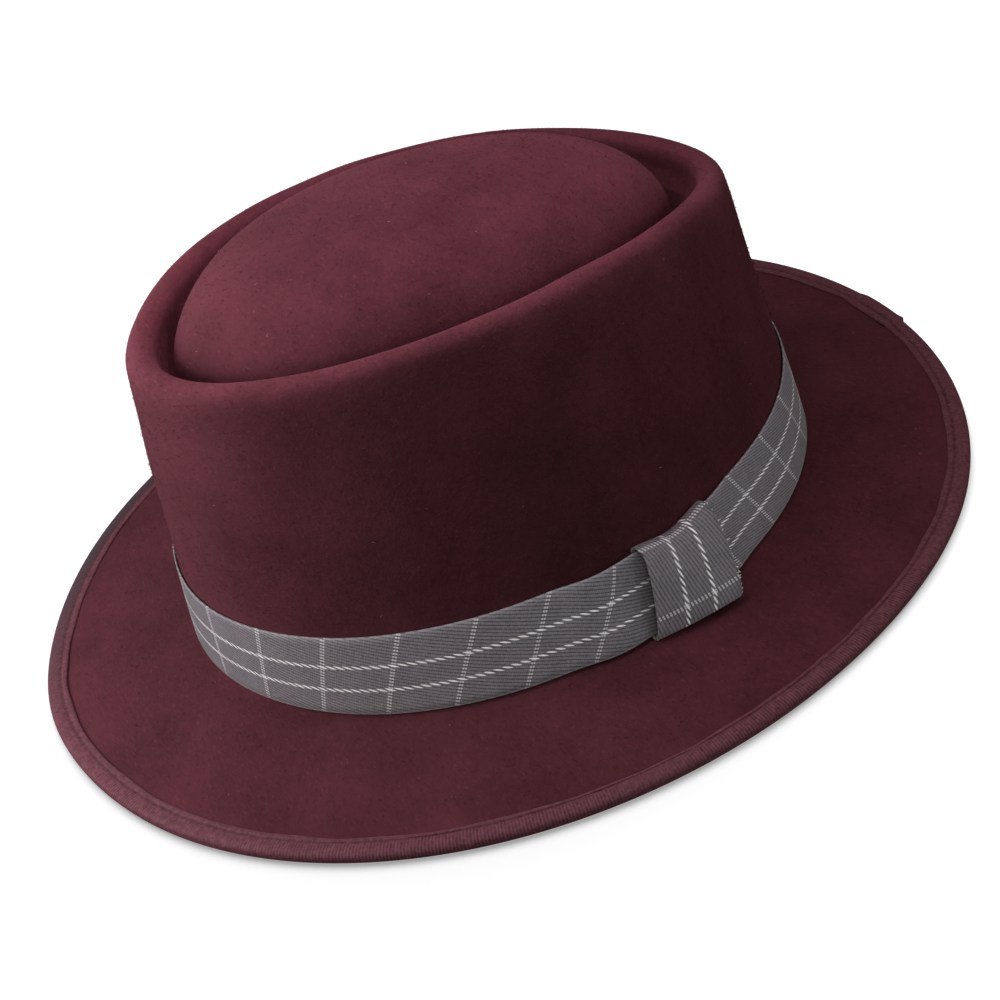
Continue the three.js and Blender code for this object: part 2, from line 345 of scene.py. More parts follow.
def cloth_places(add_node):
    """How far a point lies along (X) and across (Y) its cloth, in millimetres."""
    weave = add_node("ShaderNodeUVMap", uv_map="weave")
    scaled = add_node(VECTOR_MATH, {0: weave, "Scale": 1 / MM}, "SCALE")
    return add_node("ShaderNodeSeparateXYZ", {0: scaled}).outputs


def ripple(add_node, distance, pitch):
    """A wave between -1 and 1 that repeats once every pitch."""
    turn = add_node(MATH, {0: distance, 1: 2 * math.pi / pitch}, "MULTIPLY")
    return add_node(MATH, {0: turn}, "SINE")


def size_of_sum(add_node, value, added):
    """How far a sum is from 0, on either side."""
    total = add_node(MATH, {0: value, 1: added}, "ADD")
    return add_node(MATH, {0: total}, "ABSOLUTE")


# %% [markdown]
# ## Wool felt
#
# Felt isn't woven: fine wool fibres are matted by steam and pressure, then brushed. That gives
# the eye a matt surface with a soft bright rim where it turns away (sheen), slight clouds of
# lighter and darker dye some centimetres wide, and a short nap. The brushing lays the nap in
# flecks about half a millimetre wide and three times as long, so that noise is stretched along
# one level direction. Most of it is turned to zero by a cube, which leaves only the strongest
# flecks. Painted light and shade is stored with the mesh, as a tone at each point, and makes the
# felt paler where light falls and darker where shade falls.

# %% The felt's material
def wool_felt():
    made, add_node = new_material("wool_felt_burgundy")
    place = add_node("ShaderNodeTexCoord").outputs["Object"]
    clouds = add_node(NOISE, {"Vector": place, "Scale": 38, "Detail": 3, "Roughness": 0.55})
    mottle = add_node(NOISE, {"Vector": place, "Scale": 420, "Detail": 3, "Roughness": 0.65})
    stretched = {"Vector": place, "Rotation": (0, 0, -0.95), "Scale": (0.34, 1, 1)}
    brushed = add_node("ShaderNodeMapping", stretched)
    nap = add_node(NOISE, {"Vector": brushed, "Scale": 1500, "Detail": 2, "Roughness": 0.6})
    fleck = add_node(MATH, {0: nap, 1: 3.6, 2: -1.8}, "MULTIPLY_ADD")
    fleck = add_node(MATH, {0: fleck, 1: 3.0}, "POWER")
    fleck = add_node(MATH, {0: fleck, 1: -0.12}, "MAXIMUM")
    dye = add_node(MATH, {0: clouds, 1: 0.75, 2: -0.07}, "MULTIPLY_ADD")
    for part, weight in ((mottle, 0.35), (fleck, 0.6)):
        dye = add_node(MATH, {0: part, 1: weight, 2: dye}, "MULTIPLY_ADD")
    ramp = add_node(RAMP, {"Fac": dye})
    for stop, position, tone in zip(ramp.color_ramp.elements, (0.1, 0.9), ("#3a1a1e", "#6b3741")):
        stop.position, stop.color = position, colour(tone)
    # Painted light and shade, stored with the mesh: it makes the felt paler or darker at each point
    painted_light_and_shade = add_node("ShaderNodeAttribute", attribute_name="painted_light_tone").outputs["Fac"]
    shade = add_node(MATH, {0: painted_light_and_shade, 1: 1.0}, "ADD")
    toned = add_node(VECTOR_MATH, {0: ramp, "Scale": shade}, "SCALE")
    bump = add_node(BUMP, {"Height": nap, "Strength": 0.4, "Distance": 0.0004})
    coarse = {"Height": mottle, "Strength": 0.3, "Distance": 0.0006, "Normal": bump}
    look = {
        "Base Color": toned,
        "Roughness": 1.0,
        "Specular IOR Level": 0.15,
        "Sheen Weight": 0.18,
        "Sheen Roughness": 0.45,
        "Sheen Tint": colour("#b8636f"),
        "Normal": add_node(BUMP, coarse),
    }
    add_node(OUTPUT, {"Surface": add_node(SHADER, look)})
    return made


felt_material = wool_felt()
print("made", felt_material.name)

# %% [markdown]
# ## The felt body
#
# Crown and brim are one piece. At each angle round the hat, a row of key points runs from the
# brim's cut edge, up the wall, over the crest, down into the crease, and up over the domed tip.
# The inside is the same surface, one wall's thickness in. Blocking by hand leaves the surface
# slightly uneven, so a few long waves, a few tenths of a millimetre high at most, are added, and
# the crown is made a little tighter in front and a little higher behind.

# %% Key points of the felt's outside
brim_rows = {
    "out": [1, 1 - binding_width / brim_width, 0.62, 0.4, 0.2],
    "down": [1, 0.85, 0.6, 0.33, 0.1],
}
crease_rows = {"across": [0.04, 0.3, 0.72], "down": [0.55, 1.1, 1.22]}
crest_turns = 7
crest_arc = math.radians(165)
tip_turns = np.radians([0, 10, 21, 33, 46, 60, 75, 80, 84, 87, 89])
wall_shares = (0, 0.33, 0.67)
# Millimetres between two rows of the mesh
gaps = {"brim": 2.6, "foot": 0.7, "wall": 3, "crest": 1, "tip": 2.4}


def felt_keys(angle):
    """Key points of the felt's outside, and the spacing of the rows between each two of them."""
    keys, spacing = [], []

    def add(point, gap):
        keys.append(point)
        spacing.append(gap)

    for out, down in zip(brim_rows["out"], brim_rows["down"]):
        add(foot_point(angle, out * brim_reach(angle), -down * brim_drop), gaps["brim"])
    for step in range(3):
        turn = step / 3 * math.pi / 2
        rise, outset = break_radius * (1 - math.cos(turn)), break_radius * (1 - math.sin(turn))
        add(wall_point(angle, rise, outset), gaps["foot"])
    add(wall_point(angle, break_radius), gaps["wall"])
    wall_top = wall_height + crest_tilt(angle)
    ribbon_top = ribbon_rise(angle, 1)
    for share in wall_shares:
        add(wall_point(angle, ribbon_top + share * (wall_top - ribbon_top)), gaps["wall"])
    lean = wall_lean(angle)
    for step in range(crest_turns):
        turn = lean + (crest_arc - lean) * step / (crest_turns - 1)
        add(crest_point(angle, turn), gaps["crest"])
    rim, floor = crest_point(angle, crest_arc), tip_point(angle, 0)
    for across, down in zip(crease_rows["across"], crease_rows["down"]):
        share = np.array([across, across, down])
        add(rim * (1 - share) + floor * share, gaps["crest"])
    for turn in tip_turns:
        add(tip_point(angle, turn), gaps["tip"])
    middle = [0, tip_oval["shift"], foot_height + crown_height + tip_rise]
    keys.append(np.broadcast_to(middle, keys[0].shape))
    return np.stack(keys), spacing


def long_waves(points, wavelength, seed):
    """A smooth random height between about -1 and 1 at each point."""
    draw = np.random.default_rng(seed)
    total = np.zeros(points.shape[:-1])
    for _ in range(12):
        direction = draw.normal(size=3)
        direction *= 2 * math.pi / (wavelength * draw.uniform(0.7, 1.6) * np.linalg.norm(direction))
        total += np.cos(points @ direction + draw.uniform(0, 2 * math.pi))
    return total / 12**0.5


# %% Points of the felt body
felt_sectors = 320
angles = all_round(felt_sectors)
keys, spacing = felt_keys(angles)
outside = smooth_rows(keys, spacing)
normals = grid_normals(outside)
normals[-1] = [0, 0, 1]
wave_height, wave_length = 0.12, 38
outside = outside + wave_height * long_waves(outside, wave_length, seed=3)[..., None] * normals
# What is shaped by hand is the top: nothing up to one height, all of it this much higher
shaped_from, shaped_over = 60, 40
high = eased(rising(outside[..., 2], shaped_from, shaped_over))
from_middle = np.linalg.norm(outside[..., :2], axis=-1) / (crest_oval["length"] / 2)
tighter = shaped("crown_tight", angles) + shaped("crown_loose", angles)
outside[..., :2] *= 1 - (tighter * high)[..., None]
outside[..., 2] += shaped("crown_high", angles) * high * from_middle**2
normals = grid_normals(outside)
normals[-1] = [0, 0, 1]
inside = outside - felt_wall * normals

# %% Painted light and shade on the crown
# The felt is painted paler on the lit rim, the front and back of the tip and the wall in front,
# and darker as painted shade in the crease, the middle of the tip and the inner wall behind.
# A place is given by its distance from the middle, as a share of the crest's, and how far below
# the crest it is.
crest = crest_point(angles, math.pi / 2)
from_axis = np.linalg.norm(outside[..., :2], axis=-1) / np.linalg.norm(crest[:, :2], axis=-1)
below_crest = crest[:, 2] - outside[..., 2]
tip_edge = 0.86
on_rim = np.exp(-((below_crest / 5) ** 2)) * rising(from_axis, tip_edge, 0.05)
on_tip = (from_axis < tip_edge) * np.clip((below_crest + 16) / 6, -0.4, 1)
inner_wall = (from_axis < 0.97) * rising(from_axis, 0.75, 0.08) * rising(below_crest, -0.5, 3)
outer_wall = (from_axis > tip_edge) * (outside[..., 2] > foot_height + 20)
towards_front = 0.5 * normals[..., 0] - 0.6 * normals[..., 1]
# How much painted light (above 0) or painted shade (below 0) each place gets
painted_light_parts = {
    "rim": (0.38, on_rim * (0.15 + swell(angles, -80, 80))),
    "tip facing the front": (0.3, on_tip * np.clip(0.35 + towards_front, -0.5, 1)),
    "crease": (-0.4, (from_axis < 0.93) * rising(below_crest, 2.5, 5)),
    "middle of the tip": (-0.1, rising(from_axis, 0.7, -0.2)),
    "back of the tip": (0.16, (from_axis < tip_edge) * outside[..., 1] / 60),
    "inner wall behind": (-0.35, inner_wall * swell(angles, 105, 50)),
    "wall in front": (0.22, outer_wall * swell(angles, -122, 16)),
}
painted_light_tone = sum(amount * where for amount, where in painted_light_parts.values())

# %% Make the felt body
# The painted light and shade goes on the outside only
painted_tones = np.concatenate([0 * painted_light_tone, painted_light_tone])
felt = grid_object("hat_felt", np.concatenate([inside[::-1], outside]), painted_tones=painted_tones)
felt.data.materials.append(felt_material)
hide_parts("felt_body")
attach(felt, "root")

# %% [markdown]
# ## Strips of ribbon and tape
#
# A ribbon is a flat strip, so it is built from its middle surface: a grid whose rows run along
# the strip and whose columns run across it. Half the cloth's thickness is added on each side.
# The same grid says how far each point lies along and across the cloth. That goes into a UV
# map, so the weave follows the strip round every bend.

# %% A closed strip of cloth
def ring_normals(middle):
    """Unit normals of a strip that closes on itself along its columns."""
    along = np.roll(middle, -1, axis=1) - np.roll(middle, 1, axis=1)
    across = np.gradient(middle, axis=0)
    return unit(np.cross(along, across))


def lengths_along(line):
    """The distance along a closed line of points, at each point and back at the first."""
    steps = np.linalg.norm(np.roll(line, -1, axis=0) - line, axis=-1)
    return np.concatenate([[0], np.cumsum(steps)])


def cloth_strip(name, middle, thickness, along, across):
    """A strip with two faces. along has one more column than middle; across, one for each row."""
    normal = ring_normals(middle)
    half = thickness / 2
    ring = np.concatenate([middle + half * normal, (middle - half * normal)[::-1]])
    v = np.concatenate([across, across[::-1], across[:1]])
    u = np.concatenate([along, along[::-1], along[:1]])
    weave = np.stack([u, np.broadcast_to(v[:, None], u.shape)], axis=-1) * MM
    return grid_object(name, ring, close_rows=True, weave=weave)


# %% [markdown]
# ## Grosgrain binding
#
# Grosgrain is a tape with a thick weft: close ribs run straight across it, 0.9 mm apart. Here
# it is folded over the brim's edge and sewn through all layers about 4 mm from the fold. The
# seam pulls a groove into the tape, painted darker there as painted shade, and the narrow strip
# inside the seam lies flat and a little crooked. On the wearer's right the fold is painted grey,
# as a painted sheen. The tape's end is lapped over its beginning just left of the middle of the back.

# %% The binding's material
rib_pitch = 0.87
seam_from_edge = 2.3


def burgundy_grosgrain():
    made, add_node = new_material("grosgrain_burgundy")
    axes = cloth_places(add_node)
    rib = ripple(add_node, axes["X"], rib_pitch)
    place = add_node("ShaderNodeTexCoord").outputs["Object"]
    fibre = add_node(NOISE, {"Vector": place, "Scale": 900, "Detail": 3, "Roughness": 0.6})
    # Ribs show near the fold, here more and there less, and fade on the flat strip inside the seam
    near_fold = {"From Min": seam_from_edge - 0.5, "From Max": seam_from_edge + 1.6, "To Min": 0.12}
    crisp = add_node(RANGE, {"Value": axes["Y"], **near_fold})
    patches = add_node(NOISE, {"Vector": place, "Scale": 26, "Detail": 1})
    patches = add_node(RANGE, {"Value": patches, "From Min": 0.35, "From Max": 0.6, "To Min": 0.25})
    crisp = add_node(MATH, {0: crisp, 1: patches}, "MULTIPLY")
    height = add_node(MATH, {0: rib, 1: crisp}, "MULTIPLY")
    tone = add_node(MATH, {0: height, 1: 0.17, 2: fibre}, "MULTIPLY_ADD")
    # Painted shade: the seam's groove is painted darker, and the same dip lowers the bump's height
    # there
    off_seam = size_of_sum(add_node, axes["Y"], -seam_from_edge)
    painted_groove_shade = {"Value": off_seam, "From Min": 0.1, "From Max": 0.9, "To Min": -0.22, "To Max": 0.0}
    tone = add_node(MATH, {0: tone, 1: add_node(RANGE, painted_groove_shade)}, "ADD")
    ramp = add_node(RAMP, {"Fac": tone})
    for stop, position, value in zip(ramp.color_ramp.elements, (0.15, 0.85), ("#441b22", "#7b4853")):
        stop.position, stop.color = position, colour(value)
    # Painted sheen: the fold is painted grey on the wearer's right
    sides = add_node("ShaderNodeSeparateXYZ", {0: place}).outputs
    painted_sheen = {"Value": sides["X"], "From Min": -0.02, "From Max": -0.085, "To Max": 0.95}
    fold = {"Value": axes["Y"], "From Min": seam_from_edge, "From Max": seam_from_edge + 1}
    both = {0: add_node(RANGE, painted_sheen), 1: add_node(RANGE, fold)}
    painted_sheen = add_node(MATH, both, "MULTIPLY")
    with_painted_sheen = {"Factor": painted_sheen, COLOUR_A: ramp, COLOUR_B: colour("#41353a")}
    look = {
        "Base Color": add_node(MIX, with_painted_sheen, data_type="RGBA").outputs[COLOUR_OUT],
        "Roughness": 0.75,
        "Specular IOR Level": 0.3,
        "Sheen Weight": 0.25,
        "Sheen Roughness": 0.4,
        "Sheen Tint": colour("#c08090"),
        "Normal": add_node(BUMP, {"Height": tone, "Strength": 0.45, "Distance": 0.0003}),
    }
    add_node(OUTPUT, {"Surface": add_node(SHADER, look)})
    return made


# %% Make the binding
# Along is measured down the brim from the felt's cut edge, up square to it from mid-felt
binding_keys = [
    *[(-5.8, 1.12), (-5.3, 1.22), (-4.4, 1.3), (-3.5, 1.1), (-2.9, 1.32), (-1.6, 1.5), (0.0, 1.42)],
    *[(0.55, 1.0), (0.72, 0.0), (0.55, -1.0), (0.0, -1.5), (-1.5, -1.6), (-3.5, -1.6), (-5.8, -1.6)],
]
binding_tape = 0.4
binding_sectors = 1440
lap_angle, lap_length, lap_start, lap_end = 80, 24, 0.5, 4
lap_wider_inside, lap_wider_outside, end_lift = 0.8, 0.4, 0.7
crooked_by, crooked_length, crooked_lift = 0.24, 16, 0.12

tape_line = smooth_rows([[(a, u, 0.0)] for a, u in binding_keys], 0.5)[:, 0, :2]
tape_places = np.concatenate([[0], np.cumsum(np.linalg.norm(np.diff(tape_line, axis=0), axis=1))])
angles = all_round(binding_sectors)
brim_slope = math.atan2((1 - brim_rows["down"][1]) * brim_drop, binding_width)
edge_line = foot_point(angles, brim_reach(angles), -brim_drop)
edge_places = lengths_along(edge_line)
edge_length = edge_places[-1]
edge_places = edge_places * (round(edge_length / rib_pitch) * rib_pitch / edge_length)

lap_middle = np.interp(math.radians(lap_angle), angles, edge_places[:-1])
past_cut = edge_places[:-1] - (lap_middle - lap_length / 2)
second_layer = rising(past_cut, 0, lap_start) * rising(past_cut, lap_length, -lap_end)
crooked = crooked_by * long_waves(edge_line, crooked_length, seed=8)
# The tape is narrower on the wearer's left, and its last end stands up a little
narrow = shaped("tape_narrow", angles)
lifted = end_lift * rising(past_cut, lap_end, -lap_end) * (past_cut >= 0)

middle = []
mid_felt = -brim_drop - felt_wall / 2 * math.cos(brim_slope)
for along, up in tape_line:
    top_side = rising(up, -0.5, 1)
    inner_edge = rising(along, -3.5, -2)
    a = along + (crooked + narrow - lap_wider_inside * second_layer) * inner_edge * top_side
    a = a + lap_wider_outside * second_layer * rising(along, -1.6, 1.6)
    u = up + (binding_tape + lifted) * second_layer * top_side + crooked_lift * crooked * inner_edge
    outset = brim_reach(angles) + a * math.cos(brim_slope) + (u - felt_wall / 2) * math.sin(brim_slope)
    rise = mid_felt - a * math.sin(brim_slope) + u * math.cos(brim_slope)
    middle.append(foot_point(angles, outset, np.maximum(rise, binding_tape / 2 - foot_height)))
middle = np.stack(middle)
edge_places = np.broadcast_to(edge_places, (len(middle), binding_sectors + 1))
binding = cloth_strip("brim_binding_tape", middle, binding_tape, edge_places, tape_places)
binding.data.materials.append(burgundy_grosgrain())
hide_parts("brim_binding")
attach(binding, "root")

# %% [markdown]
# ## Checked ribbon
#
# The band is a twill ribbon, 24.5 mm wide: fine slanting lines, 1 mm apart, run almost along
# it. Two white yarns run its whole length. Each shows as a row of short slanting floats, like a
# rope. A paler double yarn crosses every 19.6 mm and shows as two rows of dots. All of it is
# worked out from how far a point lies along and across the ribbon.

# %% The ribbon's yarns
cross_repeat = 19.563
twill_pitch, twill_slope, weft_pitch = 0.94, 0.31, 0.65
float_length, float_slope, float_reach, float_half_width = cross_repeat / 8, 0.34, 0.78, 0.27
stripe_shares = (0.32, 0.62)
cross_yarn_gap, cross_yarn_half_width = 0.35, 0.26


def yarn_stripe(add_node, axes, centre):
    """White floats of one yarn that runs along the ribbon: 1 on the yarn, 0 off it."""
    fall = float_slope * float_length
    narrowing = float_half_width / float_reach**2
    floats = []
    # Each float overlaps the next, so every second one is worked out by itself
    for turn in (0, 0.5):
        repeat = {0: axes["X"], 1: 0.5 / float_length, 2: turn}
        place = add_node(MATH, repeat, "MULTIPLY_ADD")
        place = add_node(MATH, {0: place}, "FRACT")
        place = add_node(MATH, {0: place, 1: 2.0, 2: -1.0}, "MULTIPLY_ADD")
        line = add_node(MATH, {0: place, 1: fall, 2: -centre}, "MULTIPLY_ADD")
        off = size_of_sum(add_node, axes["Y"], line)
        end = add_node(MATH, {0: place, 1: 2.0}, "POWER")
        room = {0: end, 1: -narrowing, 2: float_half_width}
        room = add_node(MATH, room, "MULTIPLY_ADD")
        room = add_node(MATH, {0: room, 1: off}, "SUBTRACT")
        floats.append(add_node(RANGE, {"Value": room, "From Max": 0.08}))
    return add_node(MATH, {0: floats[0], 1: floats[1]}, "MAXIMUM")


def cross_stripe(add_node, axes, twill):
    """Two rows of dots of the yarns that cross the ribbon."""
    place = add_node(MATH, {0: axes["X"], 1: cross_repeat / 2}, "ADD")
    place = add_node(MATH, {0: place, 1: cross_repeat}, "FLOORED_MODULO")
    off = size_of_sum(add_node, place, -cross_repeat / 2)
    pair = {0: off, 1: cross_yarn_gap, 2: cross_yarn_half_width}
    pair = add_node(MATH, pair, "COMPARE")
    over = add_node(RANGE, {"Value": twill, "From Min": -0.3, "From Max": 0.3})
    return add_node(MATH, {0: pair, 1: over}, "MULTIPLY")


# %% The ribbon's material
def checked_twill():
    made, add_node = new_material("twill_ribbon_check")
    axes = cloth_places(add_node)
    slanted = {0: axes["X"], 1: twill_slope, 2: axes["Y"]}
    slanted = add_node(MATH, slanted, "MULTIPLY_ADD")
    twill = ripple(add_node, slanted, twill_pitch)
    ridge = add_node(RANGE, {"Value": twill, "From Min": -0.95, "From Max": 0.1})
    weft = ripple(add_node, axes["X"], weft_pitch)
    place = add_node("ShaderNodeTexCoord").outputs["Object"]
    fibre = add_node(NOISE, {"Vector": place, "Scale": 1500, "Detail": 2})
    wear = add_node(NOISE, {"Vector": place, "Scale": 160, "Detail": 2})
    tone = add_node(MATH, {0: fibre, 1: 0.5}, "MULTIPLY")
    for part, weight in ((ridge, 0.32), (weft, 0.05), (wear, 0.2)):
        tone = add_node(MATH, {0: part, 1: weight, 2: tone}, "MULTIPLY_ADD")
    # Both selvedges are paler
    half = ribbon_width / 2
    off_middle = size_of_sum(add_node, axes["Y"], -half)
    edges = {"Value": off_middle, "From Min": half - 0.5, "From Max": half - 0.3, "To Max": 0.3}
    tone = add_node(MATH, {0: add_node(RANGE, edges), 1: tone}, "ADD")
    ramp = add_node(RAMP, {"Fac": tone})
    for stop, position, value in zip(ramp.color_ramp.elements, (0.25, 1.0), ("#413d40", "#938e92")):
        stop.position, stop.color = position, colour(value)
    low, high = (yarn_stripe(add_node, axes, share * ribbon_width) for share in stripe_shares)
    long_yarns = add_node(MATH, {0: low, 1: high}, "MAXIMUM")
    dots = cross_stripe(add_node, axes, twill)
    grey = {"Factor": dots, COLOUR_A: ramp, COLOUR_B: colour("#c9c6c8")}
    grey = add_node(MIX, grey, data_type="RGBA").outputs[COLOUR_OUT]
    white = {"Factor": long_yarns, COLOUR_A: grey, COLOUR_B: colour("#f6f5f4")}
    height = add_node(MATH, {0: long_yarns, 1: dots}, "MAXIMUM")
    height = add_node(MATH, {0: height, 1: 0.8, 2: tone}, "MULTIPLY_ADD")
    look = {
        "Base Color": add_node(MIX, white, data_type="RGBA").outputs[COLOUR_OUT],
        "Roughness": 0.7,
        "Specular IOR Level": 0.35,
        "Sheen Weight": 0.15,
        "Sheen Roughness": 0.4,
        "Normal": add_node(BUMP, {"Height": height, "Strength": 0.5, "Distance": 0.0002}),
    }
    add_node(OUTPUT, {"Surface": add_node(SHADER, look)})
    return made


ribbon_material = checked_twill()

# %% [markdown]
# ## The band
#
# The ribbon goes round the foot of the crown, pulled tight, so it follows the leaning wall. Behind
# the loop it stands off the felt, to leave room for the loop's back, and in front of the loop it
# bulges. The loop presses its upper edge down. Pulled through the loop, its threads skew a
# little: the crossing yarns lean one way in front of the loop and the other way behind it. That
# lean is written into the ribbon's own places.

# %% Make the band
ribbon_cloth = 0.5
band_sectors, band_rows = 720, 13
angles = all_round(band_sectors)
# Millimetres along the crown's foot for each degree, on the wearer's left
foot_speed = foot_oval["length"] / 2 * math.pi / 180
loop_half_angle = ribbon_width / foot_speed / 2
loop_skew_angle = loop_skew / foot_speed
bulge_place, bulge_reach, bulge_height = -23, 8, 1.8
loop_dip, loop_dip_reach = 0.08, 4.5
band_wave, band_wave_length, band_bow = 0.1, 45, 0.12


def ribbon_offset(angle):
    """How far the ribbon's back stands off the felt."""
    away = np.abs((np.degrees(angle) - loop_angle + 180) % 360 - 180)
    ease = eased(rising(away, loop_half_angle + loop_skew_angle, loop_half_angle))
    return clearance + (1 - ease) * (ribbon_thickness + clearance)


def pinch(angle):
    """How much the loop presses the ribbon's upper edge down, most in the middle of the loop."""
    return loop_dip * swell(angle, loop_angle, loop_dip_reach)


# How far the crossing yarns lean over part of the ribbon's width, at places along it
lean_rows = {
    "place": [-290, -137, -119, -99, -80, -60, -20, 0, 16, 77, 150, 297],
    "lean": [0, 0, 1.2, 2.0, 2.8, 3.7, 4.3, 0, -3.7, -3.5, 0, 0],
}
lean_width = 7.1
first_crossing = 16.1

shares = np.linspace(0, 1, band_rows)
waves = band_wave * long_waves(foot_point(angles, 0, 0), band_wave_length, seed=5)
waves += bulge_height * swell(angles, bulge_place / foot_speed, bulge_reach / foot_speed)
middle = []
for share in shares:
    bow = band_bow * (1 - (2 * share - 1) ** 2)
    offset = ribbon_offset(angles) + ribbon_thickness / 2 + bow + waves
    pressed = share - pinch(angles) * share**4
    middle.append(wall_point(angles, ribbon_rise(angles, pressed), offset))
middle = np.stack(middle)
band_places = lengths_along(middle[band_rows // 2])
band_length = band_places[-1]
signed_places = np.where(band_places > band_length / 2, band_places - band_length, band_places)
yarn_lean = np.interp(signed_places, lean_rows["place"], lean_rows["lean"]) / lean_width
across = shares * ribbon_width
stripe_middle = sum(stripe_shares) / 2 * ribbon_width
along = band_places - first_crossing - yarn_lean * (across[:, None] - stripe_middle)
along = along * (round(band_length / cross_repeat) * cross_repeat / band_length)
band = cloth_strip("ribbon_band", middle, ribbon_cloth, along, across)
band.data.materials.append(ribbon_material)
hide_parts("hat_band")
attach(band, "root")
print("band:", ribbon_width, "mm wide,", round(band_length), "mm round")

# %% [markdown]
# ## The loop
#
# A short piece of the same ribbon is folded round the band, with its ends behind it. It is
# close to the felt behind the band and bows out in front of it, more at its back edge than at
# its front edge, so that its front edge shows a dark hollow. Its back edge has been cut, and the
# ends of its crossing yarns stick out there as pale tufts.

# %% Make the loop
loop_rows = {
    "up": [-0.01, 0.5, 1.02, 1.07, 1.02, 0.8, 0.5, 0.22, 0.02, -0.03],
    "out_front": [0, 0, 0.1, 0.4, 0.9, 1.1, 1.05, 0.8, 0.42, 0.15],
    "out_back": [0, 0, 0, 0.1, 0.42, 0.8, 1.05, 1.2, 1, 0.5],
    "behind": [1, 1, 1, 0, 0, 0, 0, 0, 0, 0],
}
loop_steps = 15
yarn_below_fold = 0.3
loop_margin, loop_spread = 0.6, 22.4


def loop_point(share, up, out_front, out_back, behind):
    """A point of the loop's middle, share of the way across it from its front edge."""
    straight = loop_angle - loop_half_angle + 2 * loop_half_angle * share
    up = up - pinch(np.radians(straight)) * min(max(up, 0), 1) ** 4
    angle = np.radians(straight - loop_skew_angle * (1 - up))
    stand = out_front * loop_stand_front * (1 - share) + out_back * loop_stand_back * share
    back_offset = clearance + ribbon_thickness / 2
    front_offset = back_offset + 2 * (ribbon_thickness + clearance)
    outset = back_offset if behind else front_offset + stand
    return wall_point(angle, ribbon_rise(angle, up), outset)


shares = np.linspace(0, 1, loop_steps)
keys = [loop_point(shares, *row) for row in zip(*loop_rows.values())]
path = smooth_rows(keys, 0.7, closed=True)
middle = path.transpose(1, 0, 2)
loop_places = lengths_along(middle[loop_steps // 2])
# A crossing yarn lies just below the loop's upper fold, and the ribbon shows its reverse
top_fold = loop_places[middle[loop_steps // 2, :, 2].argmax()]
along = np.broadcast_to(loop_places - top_fold - yarn_below_fold, (loop_steps, middle.shape[1] + 1))
across = loop_margin + (1 - shares) * loop_spread
loop = cloth_strip("ribbon_loop", middle, ribbon_cloth, along, across)
loop.data.materials.append(ribbon_material)
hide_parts("band_loop")
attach(loop, "root")

# %% [markdown]
# ## Loose fibres
#
# Wool felt is never quite bald: fine short fibres stand up from it and soften its outline. Dust
# leaves a few pale ones. The loop's cut edge is frayed into small tufts. Each fibre is a thin
# closed spike that bends once, so thousands of them stay light.

# %% Many thin fibres in one mesh
def fibre_object(name, roots, middles, tips, radius, sides=3):
    """Thin spikes, each from its root over its middle to its tip; points in millimetres."""
    way = unit(tips - roots)
    level = unit(np.cross(way, [0.31, 0.52, 0.79]))
    square = np.cross(way, level)
    turns = np.arange(sides) * 2 * math.pi / sides
    ring = level[:, None] * np.cos(turns)[:, None] + square[:, None] * np.sin(turns)[:, None]
    corners = [roots[:, None] + radius * ring, middles[:, None] + 0.8 * radius * ring, tips[:, None]]
    corners = np.concatenate(corners, axis=1)
    pattern = [list(range(sides))[::-1]]
    for k in range(sides):
        after = (k + 1) % sides
        pattern += [[k, after, sides + after, sides + k], [sides + k, sides + after, 2 * sides]]
    each = corners.shape[1]
    faces = [[each * i + k for k in face] for i in range(len(roots)) for face in pattern]
    mesh = bpy.data.meshes.new(name)
    mesh.from_pydata(in_frame(corners), [], faces)
    mesh.shade_smooth()
    made = bpy.data.objects.new(name, mesh)
    bpy.context.collection.objects.link(made)
    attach(made, "root")
    print(name, "has", len(roots), "fibres")
    return made


# %% Choose places on the felt
draw = np.random.default_rng(11)
root_depth, bare_margin = 0.12, 3


def felt_places(count):
    """Places on the open felt, even over its area, with the surface's normal at each."""
    a = outside[:-1]
    down = outside[1:] - a
    over = np.roll(a, -1, axis=1) - a
    area = np.linalg.norm(np.cross(down, over), axis=-1)
    wall = oval_point(foot_oval, angles)[None]
    beyond = np.linalg.norm(a[..., :2], axis=-1) - np.linalg.norm(wall, axis=-1)
    open_brim = (beyond > bare_margin) & (beyond < brim_width - binding_width - bare_margin)
    open_crown = a[..., 2] > foot_height + ribbon_width + bare_margin
    area = area * (open_brim | open_crown)
    picked = draw.choice(area.size, count, p=area.ravel() / area.sum())
    i, j = np.unravel_index(picked, area.shape)
    along, across = draw.uniform(size=(2, count, 1))
    return a[i, j] + down[i, j] * along + over[i, j] * across, normals[i, j]


def lying_fibres(count, shortest, longest, stand):
    """Roots, middles and tips of fibres that lie on the felt, more or less upright by stand."""
    places, up = felt_places(count)
    drift = draw.normal(size=(count, 3))
    drift = unit(drift - (drift * up).sum(axis=1, keepdims=True) * up)
    length = draw.uniform(shortest, longest, (count, 1))
    lift = draw.uniform(0.2, 1.0, (count, 1)) * stand
    turned = drift + 0.6 * np.cross(up, drift) * draw.normal(size=(count, 1))
    middles = places + length * (0.45 * drift + 0.6 * lift * up)
    tips = middles + length * (0.5 * turned + 0.4 * lift * up)
    return places - root_depth * up, middles, tips


# %% Wool fuzz and pale dust
angles = all_round(felt_sectors)
fuzz_fibres = lying_fibres(count=16000, shortest=0.7, longest=1.8, stand=0.9)
fuzz = fibre_object("wool_fuzz", *fuzz_fibres, radius=0.05)
fuzz.data.materials.append(felt_material)


